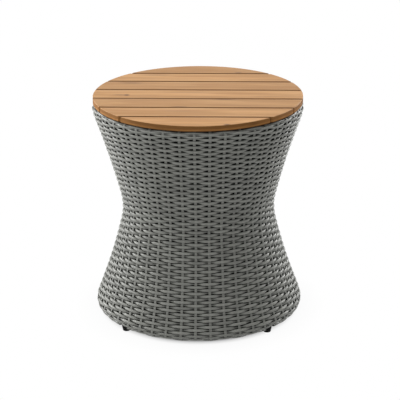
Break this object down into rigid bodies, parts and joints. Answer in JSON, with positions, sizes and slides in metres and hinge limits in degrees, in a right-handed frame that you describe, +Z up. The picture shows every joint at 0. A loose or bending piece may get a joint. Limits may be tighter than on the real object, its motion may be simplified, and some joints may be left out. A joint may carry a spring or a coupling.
{
  "type": "side table",
  "caption": "Round side table for a terrace: a slatted wooden top on a woven hourglass body with small black feet.",
  "frame": {"origin": "centre of the footprint, on the floor plane that the feet stand on", "axes": "+Z up along the body's axis, +X along the slats, +Y across the slats towards the back"},
  "size_m": [0.4568, 0.4568, 0.486],
  "materials": {
    "top_wood": "oiled, fine straight grain along the slat",
    "batten_wood": "planed, unfinished",
    "wicker": "grey half-round synthetic strand, finely grooved, low sheen",
    "frame_metal": "dark grey powder coat",
    "screw_steel": "plain stainless steel",
    "foot_plastic": "black moulded plastic, satin"
  },
  "bodies": {
    "root": {"slat_1": "top_wood", "slat_2": "top_wood", "slat_3": "top_wood", "slat_4": "top_wood", "slat_5": "top_wood", "slat_6": "top_wood", "slat_7": "top_wood", "batten_left": "batten_wood", "batten_right": "batten_wood", "slat_screws": "screw_steel", "frame_screws": "screw_steel", "cross_bar_front": "frame_metal", "cross_bar_rear": "frame_metal", "top_ring": "frame_metal", "waist_ring": "frame_metal", "base_ring": "frame_metal", "rib_1": "frame_metal", "rib_2": "frame_metal", "rib_3": "frame_metal", "rib_4": "frame_metal", "rib_5": "frame_metal", "rib_6": "frame_metal", "rib_7": "frame_metal", "rib_8": "frame_metal", "stakes": "wicker", "woven_wall": "wicker", "rim_border": "wicker", "base_border": "wicker", "foot_1": "foot_plastic", "foot_2": "foot_plastic", "foot_3": "foot_plastic", "foot_4": "foot_plastic"}
  },
  "joints": []
}
